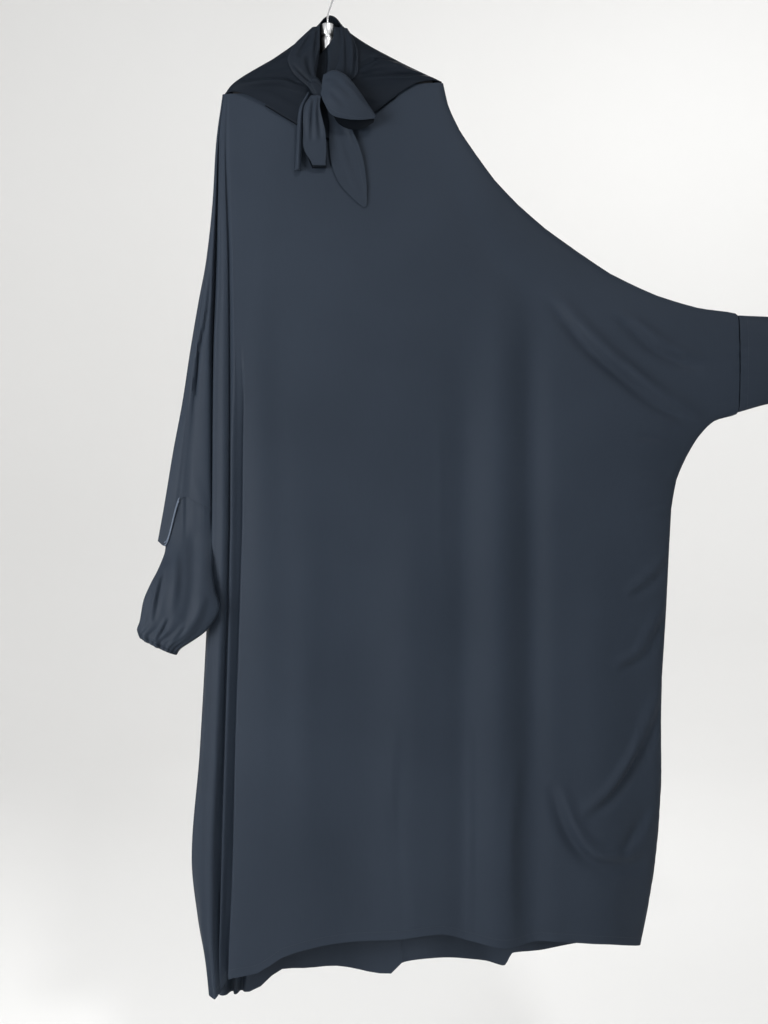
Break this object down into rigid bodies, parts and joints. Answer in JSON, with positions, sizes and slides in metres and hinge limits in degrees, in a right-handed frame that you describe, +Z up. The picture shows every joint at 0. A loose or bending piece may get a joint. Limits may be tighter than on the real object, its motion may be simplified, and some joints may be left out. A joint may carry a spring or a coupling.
{
  "type": "jilbab with its hanger",
  "caption": "Hooded batwing jilbab of smooth crepe, with tied face opening and elastic wrists, hanging on a hanger with one sleeve spread.",
  "frame": {"origin": "inner top of the bend of the hanger's hook, where the hook rests on a rail", "axes": "+Z up, -Y out of the front of the garment, +X to the wearer's left, which is the side of the spread sleeve"},
  "size_m": [1.2985, 0.0904, 1.8006],
  "materials": {
    "crepe": "smooth matt crepe, charcoal blue-grey",
    "tie": "doubled crepe, charcoal blue-grey",
    "chrome": "polished chrome",
    "hanger": "matt black"
  },
  "bodies": {
    "root": {"front_panel": "crepe", "back_panel_left": "crepe", "back_panel_right": "crepe", "hood": "crepe", "lower_sleeve_left": "crepe", "lower_sleeve_right": "crepe", "hood_band_right": "tie", "hood_band_left": "tie", "bow_knot": "tie", "bow_loop_left": "tie", "bow_loop_right": "tie", "tie_tail_left": "tie", "tie_tail_right": "tie", "hanger_neck": "chrome", "hanger_hook": "chrome", "hanger_arms": "hanger"}
  },
  "joints": []
}
